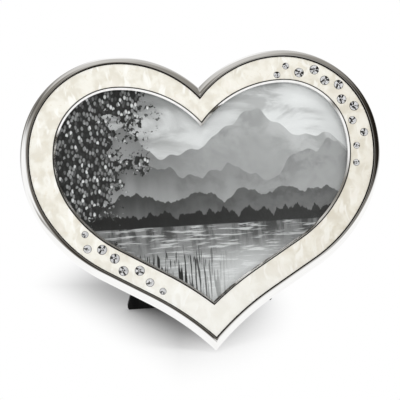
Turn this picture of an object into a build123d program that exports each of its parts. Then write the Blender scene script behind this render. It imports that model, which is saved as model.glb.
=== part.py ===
"""Heart shaped table frame: cast rim with a pearl band and crystals, a glazed print, and an easel back."""
from build123d import *
import math
import os

# Angles that the geometry is laid out with, in degrees
right_angle = 90.0
straight_angle = 180.0

# Stance on the table, in degrees, and the small flat that the tip stands on
lean_angle = 20.0
leg_opening_angle = 38.7
tip_flat = 0.5

# Heart line, the outer edge of the pearl band: arcs and one straight, from the top of a lobe to the tip
lobe_spacing = 93.4
lobe_radius = 49.5
lobe_sweep_angle = 78.0
shoulder_radius = 64.0
shoulder_sweep_angle = 42.5
flank_radius = 85.0
flank_sweep_angle = 29.0
flank_straight = 29.5
tip_flare_radius = 165.0
cleft_depth = 22.1

# Casting: levels are measured from the pearl face, to the front or to the back
band_width = 13.0
rim_width = 5.2
rim_crest_height = 0.8
rim_crest_inset = 0.6
lip_width = 1.6
lip_crest_height = 0.45
lip_crest_inset = 0.5
lip_bevel_drop = 1.05
casting_back = 8.2
recess_depth = 1.0
web_thickness = 1.4
mitre_overrun_angle = 5.0

# Pearl inlay
inlay_groove = 0.15

# Glass, print, card and back board, and the ledges that hold their edges
pane_ledge = 2.9
board_ledge = 8.0
pane_clearance = 0.3
glass_thickness = 2.0
print_thickness = 0.25
card_thickness = 0.75
board_thickness = 2.4
velvet_thickness = 0.4

# Crystals: three sizes, and how they sit in the drilled inlay
crystal_diameters = {"large": 5.3, "medium": 4.5, "small": 3.7}
seat_clearance = 0.06
crystal_girdle_height = 0.1
crown_height_share = 0.17
table_share = 0.56
crown_sides = 8

# Places of the crystals: share of the way from cleft to tip, and share of the band from its outer edge
upper_crystal_shares = {
    "large": [(0.236, 0.64), (0.268, 0.31), (0.300, 0.52), (0.331, 0.29), (0.360, 0.64), (0.389, 0.34)],
    "medium": [(0.418, 0.68), (0.451, 0.32)],
    "small": [(0.181, 0.80), (0.203, 0.42), (0.479, 0.73), (0.520, 0.73)],
}
lower_crystal_shares = {
    "large": [(0.720, 0.69), (0.753, 0.63), (0.779, 0.33), (0.807, 0.65)],
    "medium": [(0.694, 0.36), (0.835, 0.40)],
    "small": [(0.670, 0.76), (0.865, 0.32)],
}

# Turn buttons, their screws and spring washers, on the land round the back board
upper_button_share = 0.245
lower_button_share = 0.700
button_thickness = 0.8
button_heel_radius = 3.2
button_nose_radius = 2.1
button_reach = 7.4
button_end_play = 0.05
washer_radius = 2.9
washer_thickness = 0.3
screw_thread_radius = 1.1
screw_thread_length = 4.5
screw_shoulder_radius = 1.4
screw_head_radius = 2.7
screw_head_height = 1.2
screw_head_round = 0.5
screw_slot_width = 0.7
screw_slot_depth = 0.6
screw_hole_clearance = 0.05

# Hinge between the back board and the leg
pivot_rise = 3.0
pin_radius = 1.0
pin_fit = 0.02
pin_running_clearance = 0.05
pin_head_radius = 1.6
pin_head_length = 0.7
plate_knuckle_radius = 1.9
plate_knuckle_length = 8.0
leaf_knuckle_radius = 1.75
leaf_knuckle_length = 14.0
knuckle_gap = 0.2
plate_thickness = 0.8
plate_height = 21.0
plate_corner_radius = 4.0
plate_notch_height = 2.1
stop_gap = 0.05
leaf_thickness = 0.8
leaf_top_drop = 2.4
leaf_length = 21.0
leaf_top_width = 27.0
leaf_end_width = 15.0
leaf_corner_radius = 3.0

# Rivets
rivet_radius = 1.2
rivet_head_radius = 2.3
rivet_head_height = 0.8
rivet_head_round = 0.6
rivet_fit = 0.03
plate_rivet_spacing = 18.0
plate_rivet_low = 7.5
plate_rivet_high = 16.0
leaf_rivet_spacing = 15.0
leaf_rivet_high = 7.0
leaf_rivet_low = 16.5

# Leg: a board in a velvet sleeve, wide at the foot
leg_top_drop = 2.6
leg_top_width = 38.0
leg_foot_width = 91.8
leg_top_corner_radius = 3.0
leg_foot_corner_radius = 3.2
leg_fold_gap = 0.4

# Levels worked out from the sizes above, on the axis that points to the front
recess_floor = -recess_depth
glass_front = recess_floor - web_thickness
glass_back = glass_front - glass_thickness
print_back = glass_back - print_thickness
card_back = print_back - card_thickness
board_back = card_back - board_thickness
velvet_back = board_back - velvet_thickness
land_level = -casting_back
plate_back = velvet_back - plate_thickness
pivot_level = velvet_back - plate_knuckle_radius

# Places of the leaf's and the leg's faces, from the hinge axis towards the front of the leg
leaf_back_offset = -leaf_knuckle_radius
leaf_front_offset = leaf_back_offset + leaf_thickness
leg_front_offset = plate_knuckle_radius - leg_fold_gap

# Directions square to the plane of the front
FRONT = Vector(0, 0, 1)
BACK = Vector(0, 0, -1)


def ray(angle):
    """Unit vector in the plane of the front, at an angle in degrees from the right."""
    return Vector(math.cos(math.radians(angle)), math.sin(math.radians(angle)), 0)


class Run:
    """One arc of a heart line, from a start angle by a turn, clockwise when negative."""

    def __init__(self, centre, radius, start, turn):
        self.centre = centre
        self.radius = radius
        self.start = start
        self.turn = turn

    def length(self):
        return self.radius * abs(math.radians(self.turn))

    def outward(self, angle):
        side = -1 if self.turn > 0 else 1
        return ray(angle) * side

    def place(self, distance):
        """Point at a distance along the run, and the direction out of the heart there."""
        angle = self.start + self.turn * distance / self.length()
        return self.centre + ray(angle) * self.radius, self.outward(angle)

    def edge(self):
        return CenterArc(self.centre, self.radius, self.start, self.turn)

    def sweep(self, section, lead=0.0, trail=0.0):
        """Section turned along the run, with extra degrees ahead of it and after it."""
        side = 1 if self.turn > 0 else -1
        start = self.start - side * lead
        out = self.outward(start)
        drawing = Plane(self.centre + ray(start) * self.radius, x_dir=out, z_dir=out.cross(FRONT))
        axis = Axis(self.centre, FRONT * side)
        return revolve(drawing * section, axis, abs(self.turn) + lead + trail)


class Straight:
    """The straight of a heart line, with the direction out of the heart beside it."""

    def __init__(self, begin, heading, size, out):
        self.begin = begin
        self.heading = heading
        self.size = size
        self.out = out

    def length(self):
        return self.size

    def place(self, distance):
        return self.begin + self.heading * distance, self.out

    def edge(self):
        return Line(self.begin, self.begin + self.heading * self.size)

    def sweep(self, section, lead=0.0, trail=0.0):
        drawing = Plane(self.begin, x_dir=self.out, z_dir=self.out.cross(FRONT))
        return extrude(drawing * section, self.size, dir=self.heading)


class HeartLine:
    """A heart line set in from the outer edge of the pearl band, both halves alike.

    Lines round the opening keep the cleft arc of the outer line, lowered by the band's width,
    so the band narrows beside the cleft.
    """

    def __init__(self, inset, lowered=0.0):
        lobe_x = lobe_spacing / 2
        cleft_radius = (lobe_x**2 + cleft_depth**2) / (2 * cleft_depth)
        cleft_inset = inset - lowered
        cleft_centre = Vector(lobe_x, lobe_radius - cleft_radius - lowered, 0)
        cleft_start = math.degrees(math.acos(-lobe_x / (cleft_radius - cleft_inset)))
        shoulder_start = right_angle - lobe_sweep_angle
        flank_start = shoulder_start - shoulder_sweep_angle
        straight_out = flank_start - flank_sweep_angle
        lobe_centre = Vector(lobe_x, 0, 0)
        shoulder_centre = lobe_centre + ray(shoulder_start) * (lobe_radius - shoulder_radius)
        flank_centre = shoulder_centre + ray(flank_start) * (shoulder_radius - flank_radius)
        heading = ray(straight_out - right_angle)
        straight_begin = flank_centre + ray(straight_out) * flank_radius
        flare_centre = straight_begin + heading * flank_straight + ray(straight_out) * tip_flare_radius
        flare_radius = tip_flare_radius + inset
        flare_start = straight_out + straight_angle
        flare_turn = math.degrees(math.acos(-flare_centre.X / flare_radius)) - flare_start
        self.runs = [
            Run(cleft_centre, cleft_radius - cleft_inset, cleft_start, right_angle - cleft_start),
            Run(lobe_centre, lobe_radius - inset, right_angle, -lobe_sweep_angle),
            Run(shoulder_centre, shoulder_radius - inset, shoulder_start, -shoulder_sweep_angle),
            Run(flank_centre, flank_radius - inset, flank_start, -flank_sweep_angle),
            Straight(straight_begin - ray(straight_out) * inset, heading, flank_straight, ray(straight_out)),
            Run(flare_centre, flare_radius, flare_start, flare_turn),
        ]

    def tip(self):
        return self.runs[-1].place(self.runs[-1].length())[0]

    def place(self, share):
        """Point and outward direction on the right half, at a share of the way from cleft to tip."""
        left_to_go = share * sum(run.length() for run in self.runs)
        for run in self.runs:
            if left_to_go <= run.length():
                return run.place(left_to_go)
            left_to_go -= run.length()
        return self.runs[-1].place(self.runs[-1].length())

    def slab(self, back, front):
        """Flat plate inside the line, between two levels."""
        right = [run.edge() for run in self.runs]
        left = [mirror(edge, about=Plane.YZ) for edge in right]
        return Pos(0, 0, back) * extrude(make_face(right + left), front - back, dir=FRONT)

    def bead(self, section):
        """Section swept round both halves, mitred at the cleft and at the tip."""
        first, *middle, last = self.runs
        half = first.sweep(section, lead=mitre_overrun_angle)
        half += [run.sweep(section) for run in middle]
        half += last.sweep(section, trail=mitre_overrun_angle)
        half = split(half, bisect_by=Plane.YZ, keep=Keep.TOP)
        return half + mirror(half, about=Plane.YZ)


def outer_line(inset):
    """Line of the outer family, set in from the outer edge of the pearl band."""
    return HeartLine(inset)


def opening_line(outset):
    """Line of the family round the opening, set out from the inner edge of the pearl band."""
    return HeartLine(band_width - outset, lowered=band_width)


def quarter_oval(centre, width, height, start):
    """Quarter of an oval about a centre, from a start angle."""
    return EllipticalCenterArc(centre, width, height, start, arc_size=right_angle)


def rim_section():
    """Half of the rounded rim: a tight roll beside the pearl, then one long curve to the back edge."""
    back_centre = (rim_crest_inset, land_level)
    crest_over_back = rim_crest_height - land_level
    outside = quarter_oval(back_centre, rim_width - rim_crest_inset, crest_over_back, 0)
    inside = quarter_oval((rim_crest_inset, 0), rim_crest_inset, rim_crest_height, right_angle)
    wall = Line((0, 0), (0, land_level))
    back = Line((0, land_level), (rim_width, land_level))
    return make_face([outside, inside, wall, back])


def lip_section():
    """Narrow lip round the opening, rounded to the pearl and bevelled down to the picture."""
    crest = -lip_crest_inset
    edge = -lip_width
    bevel_foot = lip_crest_height - lip_bevel_drop
    outside = quarter_oval((crest, 0), lip_crest_inset, lip_crest_height, 0)
    bevel = Line((crest, lip_crest_height), (edge, bevel_foot))
    wall = Line((edge, bevel_foot), (edge, glass_front))
    seat = Line((edge, glass_front), (0, glass_front))
    back = Line((0, glass_front), (0, 0))
    return make_face([outside, bevel, wall, seat, back])


def both_sides(point, out):
    """The place given on the right, and its mirror image on the left."""
    return [(point, out), (Vector(-point.X, point.Y, point.Z), Vector(-out.X, out.Y, out.Z))]


def button_places():
    """Named pivots of the turn buttons, each with the direction into the heart."""
    places = {}
    land_middle = (band_width - board_ledge - rim_width) / 2
    for height, share in (("upper", upper_button_share), ("lower", lower_button_share)):
        right, left = both_sides(*outer_line(land_middle).place(share))
        for side, (point, out) in (("right", right), ("left", left)):
            places[f"{height}_{side}"] = Plane((point.X, point.Y, land_level), x_dir=-out, z_dir=BACK)
    return places


def frame_casting():
    """Rim, web and lip in one casting, with its pockets open to the back and four drilled screw holes."""
    beyond = land_level - casting_back
    body = outer_line(-rim_width / 2).slab(land_level, recess_floor)
    body -= opening_line(-lip_width / 2).slab(beyond, 0)
    body -= opening_line(pane_ledge).slab(beyond, glass_front)
    body -= opening_line(board_ledge).slab(beyond, card_back)
    body += outer_line(0).bead(rim_section())
    body += opening_line(0).bead(lip_section())
    for place in button_places().values():
        hole = Cylinder(screw_thread_radius + screw_hole_clearance, 2 * screw_thread_length)
        body -= place * hole
    return body


def crystal_spots(shares, side):
    """Centres of crystals on the right, or on the left when side is -1."""
    spots = []
    for along, across in shares:
        point, out = outer_line(0).place(along)
        centre = point - out * across * band_width
        spots.append(Pos(side * centre.X, centre.Y, 0))
    return spots


def crystal_seats(shares_by_size, side):
    """Drilled holes through the inlay for one group of crystals."""
    seats = []
    for size, shares in shares_by_size.items():
        radius = crystal_diameters[size] / 2 + seat_clearance
        seats += [spot * Cylinder(radius, 3 * recess_depth) for spot in crystal_spots(shares, side)]
    return seats


def pearl_inlay():
    """Pearl band set in the recess, with a narrow groove along both edges."""
    band = outer_line(inlay_groove).slab(recess_floor, 0)
    band -= opening_line(inlay_groove).slab(2 * recess_floor, recess_depth)
    band -= crystal_seats(upper_crystal_shares, 1)
    band -= crystal_seats(lower_crystal_shares, -1)
    return band


def crystal(size):
    """Round stone with a flat foot, a thin girdle and a faceted crown under a flat table."""
    radius = crystal_diameters[size] / 2
    crown_height = crystal_diameters[size] * crown_height_share
    foot = extrude(Circle(radius), crystal_girdle_height - recess_floor)
    girdle_level = crystal_girdle_height - recess_floor
    girdle = Pos(0, 0, girdle_level) * RegularPolygon(radius, crown_sides)
    table = Pos(0, 0, girdle_level + crown_height) * RegularPolygon(radius * table_share, crown_sides)
    crown = loft([girdle, table], ruled=True)
    return Pos(0, 0, recess_floor) * (foot + crown)


def crystal_group(shares_by_size, size, side):
    """All crystals of one size in one group."""
    stone = crystal(size)
    return [spot * stone for spot in crystal_spots(shares_by_size[size], side)]


def glazing():
    """Glass, print and card, one behind the other in the pane pocket."""
    edge = pane_ledge - pane_clearance
    return {
        "glass_pane": opening_line(edge).slab(glass_back, glass_front),
        "print_insert": opening_line(edge - pane_clearance).slab(print_back, glass_back),
        "backing_card": opening_line(edge).slab(card_back, print_back),
    }


def rivet_places(spacing, rows):
    """Centres of paired rivets, row by row."""
    return [(side * spacing / 2, row) for row in rows for side in (-1, 1)]


def plate_rivet_places():
    rows = (pivot_rise + plate_rivet_low, pivot_rise + plate_rivet_high)
    return rivet_places(plate_rivet_spacing, rows)


def leaf_rivet_places():
    """Two rivets under the hinge and one near the leaf's end, on the leg's own plane."""
    return rivet_places(leaf_rivet_spacing, (-leaf_rivet_high,)) + [(0, -leaf_rivet_low)]


def rivet_holes(places, back, front):
    """Holes for the rivets through whatever lies between two levels."""
    hole = Cylinder(rivet_radius + rivet_fit, front - back, align=(Align.CENTER, Align.CENTER, Align.MIN))
    return [Pos(x, y, back) * hole for x, y in places]


def rivets(places, head_level, tail_level):
    """Round headed rivets, with their heads at the back."""
    shank = Cylinder(rivet_radius, tail_level - head_level, align=(Align.CENTER, Align.CENTER, Align.MIN))
    head = Cylinder(rivet_head_radius, rivet_head_height, align=(Align.CENTER, Align.CENTER, Align.MAX))
    head = fillet(head.edges().group_by(Axis.Z)[0], rivet_head_round)
    return [Pos(x, y, head_level) * (shank + head) for x, y in places]


def back_panel():
    """Back board and the velvet on its back face, both drilled for the hinge plate's rivets."""
    edge = board_ledge - pane_clearance
    holes = rivet_holes(plate_rivet_places(), velvet_back, card_back)
    return {
        "back_board": opening_line(edge).slab(board_back, card_back) - holes,
        "back_velvet": opening_line(edge).slab(velvet_back, board_back) - holes,
    }


def knuckle(radius, length, middle):
    """Hinge knuckle along the hinge axis, centred at a distance to the right of the middle."""
    return Pos(middle, 0, 0) * Rot(0, right_angle, 0) * Cylinder(radius, length)


def barrel_length():
    return leaf_knuckle_length + 2 * (knuckle_gap + plate_knuckle_length)


def plate_knuckle_middle():
    return (leaf_knuckle_length + plate_knuckle_length) / 2 + knuckle_gap


def rounded_plate(width, low, high, radius, thickness):
    """Plate on the XY plane between two heights, with its upper corners rounded."""
    sheet = Pos(0, (low + high) / 2) * Rectangle(width, high - low)
    sheet = fillet(sheet.vertices().group_by(Axis.Y)[-1], radius)
    return extrude(sheet, thickness, dir=FRONT)


def hinge_plate():
    """Stamped plate on the back panel, notched for the leaf, with a rolled knuckle at each side."""
    sheet = rounded_plate(barrel_length(), 0, plate_height, plate_corner_radius, plate_thickness)
    notch_width = leaf_knuckle_length + 2 * knuckle_gap
    notch = Pos(0, plate_notch_height / 2) * Box(notch_width, plate_notch_height, 3 * plate_thickness)
    plate = Pos(0, 0, plate_back - pivot_level) * (sheet - notch)
    for side in (-1, 1):
        plate += knuckle(plate_knuckle_radius, plate_knuckle_length, side * plate_knuckle_middle())
        plate -= knuckle(pin_radius + pin_fit, 2 * plate_knuckle_length, side * plate_knuckle_middle())
    plate = Pos(0, pivot_rise, pivot_level) * plate
    return plate - rivet_holes(plate_rivet_places(), plate_back, velvet_back)


def hinge_pin():
    """Pin through all knuckles, headed at both ends."""
    pin = knuckle(pin_radius, barrel_length(), 0)
    for side in (-1, 1):
        pin += knuckle(pin_head_radius, pin_head_length, side * (barrel_length() + pin_head_length) / 2)
    return Pos(0, pivot_rise, pivot_level) * pin


def leg_plane():
    """Plane of the open leg: origin on the hinge axis, Y up along the leg, Z to its front."""
    tilt = math.radians(leg_opening_angle)
    return Plane((0, pivot_rise, pivot_level), x_dir=(1, 0, 0), z_dir=(0, -math.sin(tilt), math.cos(tilt)))


def stop_reach():
    """Length of leaf above the hinge axis, which meets the plate and stops the open leg."""
    tilt = math.radians(leg_opening_angle)
    plate_from_axis = plate_back - stop_gap - pivot_level
    return (plate_from_axis - leaf_front_offset * math.cos(tilt)) / math.sin(tilt)


def hinge_leaf():
    """Leaf on the back of the leg, its neck rolled round the pin and run on as the stop."""
    low = -leaf_length
    high = -leaf_top_drop
    half_top = leaf_top_width / 2
    half_end = leaf_end_width / 2
    outline = Polygon((-half_end, low), (half_end, low), (half_top, high), (-half_top, high), align=None)
    outline = fillet(outline.vertices().group_by(Axis.Y)[0], leaf_corner_radius)
    neck_height = stop_reach() - high
    outline += Pos(0, high + neck_height / 2) * Rectangle(leaf_knuckle_length, neck_height)
    leaf = Pos(0, 0, leaf_back_offset) * extrude(outline, leaf_thickness, dir=FRONT)
    leaf += knuckle(leaf_knuckle_radius, leaf_knuckle_length, 0)
    leaf -= knuckle(pin_radius + pin_running_clearance, 2 * leaf_knuckle_length, 0)
    return leg_plane() * (leaf - rivet_holes(leaf_rivet_places(), leaf_back_offset, leaf_front_offset))


def stand():
    """Place of the frame's own plane on the table: leant back, with the flat of its tip at height 0."""
    lean = math.radians(lean_angle)
    tip = outer_line(-rim_width).tip()
    lowest = tip.Y * math.cos(lean) + land_level * math.sin(lean)
    return Plane((0, 0, -lowest - tip_flat), x_dir=(1, 0, 0), z_dir=(0, -math.cos(lean), math.sin(lean)))


def above(level, shape):
    """What lies above a level over the table."""
    return split(shape, bisect_by=Plane.XY.offset(level), keep=Keep.TOP)


def leg_length():
    """Length from the hinge axis down to the table, on the far side of the leg."""
    from_upright = math.radians(leg_opening_angle - lean_angle)
    pivot = (stand() * Pos(0, pivot_rise, pivot_level)).position
    farthest = max(abs(leg_front_offset), abs(leaf_front_offset))
    return (pivot.Z + farthest * math.sin(from_upright)) / math.cos(from_upright)


def leg_blank(margin, back_offset, front_offset):
    """Tapered board of the leg, narrower than the sleeve by a margin at each side."""
    top = -leg_top_drop
    foot = -leg_length()
    half_top = leg_top_width / 2 - margin
    half_foot = leg_foot_width / 2 - margin
    outline = Polygon((-half_foot, foot), (half_foot, foot), (half_top, top), (-half_top, top), align=None)
    outline = fillet(outline.vertices().group_by(Axis.Y)[0], leg_foot_corner_radius - margin)
    outline = fillet(outline.vertices().group_by(Axis.Y)[-1], leg_top_corner_radius - margin)
    blank = Pos(0, 0, back_offset) * extrude(outline, front_offset - back_offset, dir=FRONT)
    return stand() * leg_plane() * blank


def leg():
    """Leg board and its velvet sleeve, cut level at the foot and drilled for the leaf's rivets."""
    holes = rivet_holes(leaf_rivet_places(), leaf_front_offset, leg_front_offset)
    holes = [stand() * leg_plane() * hole for hole in holes]
    core_back = leaf_front_offset + velvet_thickness
    core_front = leg_front_offset - velvet_thickness
    core = above(velvet_thickness, leg_blank(velvet_thickness, core_back, core_front))
    sleeve = above(0, leg_blank(0, leaf_front_offset, leg_front_offset)) - core
    return {"leg_board": core - holes, "leg_velvet": sleeve - holes}


def button():
    """Turn button on its pivot: a round heel and a narrower nose, with the hole for the screw's shoulder."""
    low = washer_thickness + button_end_play
    heel = Circle(button_heel_radius)
    nose = Pos(button_reach, 0) * Circle(button_nose_radius)
    outline = make_hull((heel + nose).edges())
    plate = Pos(0, 0, low) * extrude(outline, button_thickness)
    return plate - Cylinder(screw_shoulder_radius + screw_hole_clearance, 4 * button_thickness)


def washer():
    ring = Circle(washer_radius) - Circle(screw_shoulder_radius + screw_hole_clearance)
    return extrude(ring, washer_thickness)


def screw():
    """Shoulder screw with a slotted head that keeps the button on its washer."""
    shoulder_height = washer_thickness + button_thickness + 2 * button_end_play
    base = (Align.CENTER, Align.CENTER, Align.MIN)
    head = Cylinder(screw_head_radius, screw_head_height, align=base)
    head = fillet(head.edges().group_by(Axis.Z)[-1], screw_head_round)
    slot = Box(3 * screw_head_radius, screw_slot_width, 2 * screw_slot_depth)
    head = Pos(0, 0, shoulder_height) * (head - Pos(0, 0, screw_head_height) * slot)
    shoulder = Cylinder(screw_shoulder_radius, shoulder_height, align=base)
    thread = Pos(0, 0, -screw_thread_length) * Cylinder(screw_thread_radius, screw_thread_length, align=base)
    return thread + shoulder + head


def flat_parts():
    """Every piece that is built on the frame's own plane, by the name of its node."""
    parts = {"frame_casting": frame_casting(), "pearl_inlay": pearl_inlay()}
    for size in crystal_diameters:
        parts[f"upper_crystals_{size}"] = crystal_group(upper_crystal_shares, size, 1)
        parts[f"lower_crystals_{size}"] = crystal_group(lower_crystal_shares, size, -1)
    parts.update(glazing())
    parts.update(back_panel())
    parts["hinge_plate"] = hinge_plate()
    parts["hinge_plate_rivets"] = rivets(plate_rivet_places(), plate_back, card_back)
    parts["hinge_pin"] = hinge_pin()
    parts["hinge_leaf"] = hinge_leaf()
    leaf_rivets = rivets(leaf_rivet_places(), leaf_back_offset, leg_front_offset)
    parts["hinge_leaf_rivets"] = [leg_plane() * rivet for rivet in leaf_rivets]
    places = button_places()
    for name, place in places.items():
        parts[f"turn_button_{name}"] = place * button()
    parts["button_washers"] = [place * washer() for place in places.values()]
    parts["button_screws"] = [place * screw() for place in places.values()]
    return parts


def solids_of(shape):
    """All solids of a piece, or of a list of pieces."""
    if isinstance(shape, list):
        return [solid for piece in shape for solid in piece.solids()]
    return list(shape.solids())


def main():
    parts = {}
    for name, shape in flat_parts().items():
        parts[name] = [stand() * solid for solid in solids_of(shape)]
    parts["frame_casting"] = solids_of(above(0, parts["frame_casting"][0]))
    for name, shape in leg().items():
        parts[name] = solids_of(shape)
    everything = Compound([solid for solids in parts.values() for solid in solids])
    middle = everything.bounding_box().center()
    os.makedirs("parts", exist_ok=True)
    for name, solids in parts.items():
        placed = [Pos(0, -middle.Y, 0) * solid for solid in solids]
        export_step(placed[0] if len(placed) == 1 else Compound(children=placed), f"parts/{name}.step")
    print(f"moved {-middle.Y:.4f} mm along Y")


main()
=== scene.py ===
"""Looks of the heart shaped table frame: plated rim, pearl band, crystals, glazed print and velvet back."""
import logging
import math
import random
from dataclasses import dataclass
from enum import Enum
from functools import cache

import bpy
from mathutils import Matrix, Quaternion, Vector


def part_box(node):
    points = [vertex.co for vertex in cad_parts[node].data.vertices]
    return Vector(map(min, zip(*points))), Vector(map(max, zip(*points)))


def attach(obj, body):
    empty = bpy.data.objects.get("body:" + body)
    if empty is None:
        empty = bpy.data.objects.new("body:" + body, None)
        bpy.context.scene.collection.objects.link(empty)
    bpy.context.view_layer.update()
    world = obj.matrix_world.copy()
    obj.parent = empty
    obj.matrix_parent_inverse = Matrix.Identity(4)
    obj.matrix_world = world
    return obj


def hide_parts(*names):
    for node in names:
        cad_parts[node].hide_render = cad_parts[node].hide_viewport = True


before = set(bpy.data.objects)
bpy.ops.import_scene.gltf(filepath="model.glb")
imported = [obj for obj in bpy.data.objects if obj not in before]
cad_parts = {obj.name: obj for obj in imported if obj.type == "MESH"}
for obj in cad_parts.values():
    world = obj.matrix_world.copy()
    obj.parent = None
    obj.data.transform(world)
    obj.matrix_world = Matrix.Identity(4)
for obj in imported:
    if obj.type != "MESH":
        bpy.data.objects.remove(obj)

LOG = logging.getLogger("heart_frame")
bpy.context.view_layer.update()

Colour = tuple[float, float, float]
Point2 = tuple[float, float]
Point3 = tuple[float, float, float]
Socket = bpy.types.NodeSocket
Node = bpy.types.Node
Tree = bpy.types.NodeTree
Object = bpy.types.Object
Material = bpy.types.Material

WHITE: Colour = (1.0, 1.0, 1.0)


class Body(Enum):
    """The bodies that pieces ride on."""

    FRAME = "frame"
    LEG = "easel_leg"
    UPPER_RIGHT = "upper_right_button"
    UPPER_LEFT = "upper_left_button"
    LOWER_RIGHT = "lower_right_button"
    LOWER_LEFT = "lower_left_button"


class Slot(Enum):
    """Material slots of the record, each with a finish of the same name."""

    CASTING = "plated_casting"
    PEARL = "pearl_enamel"
    CRYSTAL = "crystal"
    GLASS = "clear_glass"
    PAPER = "printed_paper"
    CARD = "grey_card"
    BOARD = "hardboard"
    VELVET = "black_velvet"
    STEEL = "nickel_steel"
    RIVET = "nickel_rivet"
    SCREW = "nickel_screw"


class Extra(Enum):
    """Finishes that no slot has: for a part of a piece, and for the floor."""

    BACK_PLATE = "plated_casting_back"
    # Painted shade and painted dark reflections, in black, on parts of pieces
    GROOVE = "groove_black"
    FOIL = "crystal_foil"
    FLOOR = "studio_floor"


class Family(Enum):
    """The two families of heart lines: one follows the rim, the other the opening."""

    OUTER = "outer"
    OPENING = "opening"


class Side(Enum):
    """Halves of the heart, as the sign of the distance to the right."""

    RIGHT = 1
    LEFT = -1


# Places and lines on the front


@dataclass(frozen=True)
class FrontPlane:
    """Plane of the leaning front: u to the right, v up the front and n out of the pearl face.

    Its origin is midway between the centres of the two lobes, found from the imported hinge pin.
    """

    lean: float = math.radians(20.0)
    pin_rise: float = 0.0030
    pin_depth: float = 0.0101

    def turn(self) -> float:
        """Angle about the X axis that brings the table's plane to the front."""
        return math.pi / 2 - self.lean

    def origin(self) -> Vector:
        """Origin of the plane in the world.

        Returns:
            The origin.
        """
        lowest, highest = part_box("hinge_pin")
        pin = Vector((0.0, self.pin_rise, -self.pin_depth))
        return (lowest + highest) / 2 - Matrix.Rotation(self.turn(), 3, "X") @ pin

    def matrix(self) -> Matrix:
        """Transform from the front's plane to the world."""
        return Matrix.Translation(self.origin()) @ Matrix.Rotation(self.turn(), 4, "X")


def ray(angle: float) -> Vector:
    """Unit vector in the front's plane at an angle in degrees from the right."""
    return Vector((math.cos(math.radians(angle)), math.sin(math.radians(angle)), 0.0))


@dataclass(frozen=True)
class Run:
    """One arc of a heart line, from a start angle by a turn, clockwise when negative."""

    centre: Vector
    radius: float
    start: float
    turn: float

    def length(self) -> float:
        """Length along the arc."""
        return self.radius * abs(math.radians(self.turn))

    def place(self, distance: float) -> tuple[Vector, Vector]:
        """Point at a distance along the arc, and the direction out of the heart there."""
        way = ray(self.start + self.turn * distance / self.length())
        return self.centre + way * self.radius, way if self.turn < 0 else -way


@dataclass(frozen=True)
class StraightRun:
    """The straight of a heart line."""

    begin: Vector
    heading: Vector
    size: float
    out: Vector

    def length(self) -> float:
        """Length of the straight."""
        return self.size

    def place(self, distance: float) -> tuple[Vector, Vector]:
        """Point at a distance along the straight, and the direction out of the heart."""
        return self.begin + self.heading * distance, self.out


@dataclass(frozen=True)
class HeartLine:
    """Sizes of the heart: arcs and one straight on each half, from the cleft to the tip."""

    lobe_spacing: float = 0.0934
    lobe_radius: float = 0.0495
    lobe_sweep: float = 78.0
    shoulder_radius: float = 0.0640
    shoulder_sweep: float = 42.5
    flank_radius: float = 0.0850
    flank_sweep: float = 29.0
    flank_straight: float = 0.0295
    tip_flare_radius: float = 0.1650
    cleft_depth: float = 0.0221
    band_width: float = 0.0130
    step: float = 1.5
    straight_steps: int = 8
    overrun: float = 5.0

    def cleft_radius(self) -> float:
        """Radius of the arc from the cleft to the top of a lobe."""
        half = self.lobe_spacing / 2
        return (half**2 + self.cleft_depth**2) / (2 * self.cleft_depth)

    def cleft_centre(self, family: Family) -> Vector:
        """Centre of the cleft arc, lower by the band's width for lines round the opening."""
        lowered = self.band_width if family is Family.OPENING else 0.0
        return Vector((self.lobe_spacing / 2, self.lobe_radius - self.cleft_radius() - lowered, 0.0))

    def cleft_start(self, offset: float) -> float:
        """Angle at which the cleft arc, offset to the outside, meets the middle line."""
        return math.degrees(math.acos(-self.lobe_spacing / 2 / (self.cleft_radius() + offset)))

    def runs(self, family: Family, offset: float) -> list[Run | StraightRun]:
        """Runs of the right half of one line.

        Args:
            family: Which family the line belongs to.
            offset: How far it lies outside the edge of the pearl band of that family.

        Returns:
            The runs in order from the cleft to the tip.
        """
        inset = -offset if family is Family.OUTER else self.band_width - offset
        start = self.cleft_start(offset)
        runs = [Run(self.cleft_centre(family), self.cleft_radius() + offset, start, 90.0 - start)]
        centre, before, angle = Vector((self.lobe_spacing / 2, 0.0, 0.0)), self.lobe_radius, 90.0
        for radius, sweep in (
            (self.lobe_radius, self.lobe_sweep),
            (self.shoulder_radius, self.shoulder_sweep),
            (self.flank_radius, self.flank_sweep),
        ):
            centre = centre + ray(angle) * (before - radius)
            runs.append(Run(centre, radius - inset, angle, -sweep))
            before, angle = radius, angle - sweep
        heading, out = ray(angle - 90.0), ray(angle)
        runs.append(StraightRun(centre + out * (before - inset), heading, self.flank_straight, out))
        centre = centre + out * (before + self.tip_flare_radius) + heading * self.flank_straight
        radius, start = self.tip_flare_radius + inset, angle + 180.0
        turn = math.degrees(math.acos(-centre.x / radius)) - start
        return [*runs, Run(centre, radius, start, turn)]

    def place(self, share: float) -> tuple[Vector, Vector]:
        """Point on the edge of the pearl band at a share of the way from cleft to tip.

        Args:
            share: Share of the way along the outer edge of the band, on the right half.

        Returns:
            The point and the direction out of the heart there.
        """
        runs = self.runs(Family.OUTER, 0.0)
        left = share * sum(run.length() for run in runs)
        for run in runs:
            if left <= run.length():
                return run.place(left)
            left -= run.length()
        return runs[-1].place(runs[-1].length())


# Modelling with operators, as at a bench


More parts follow.
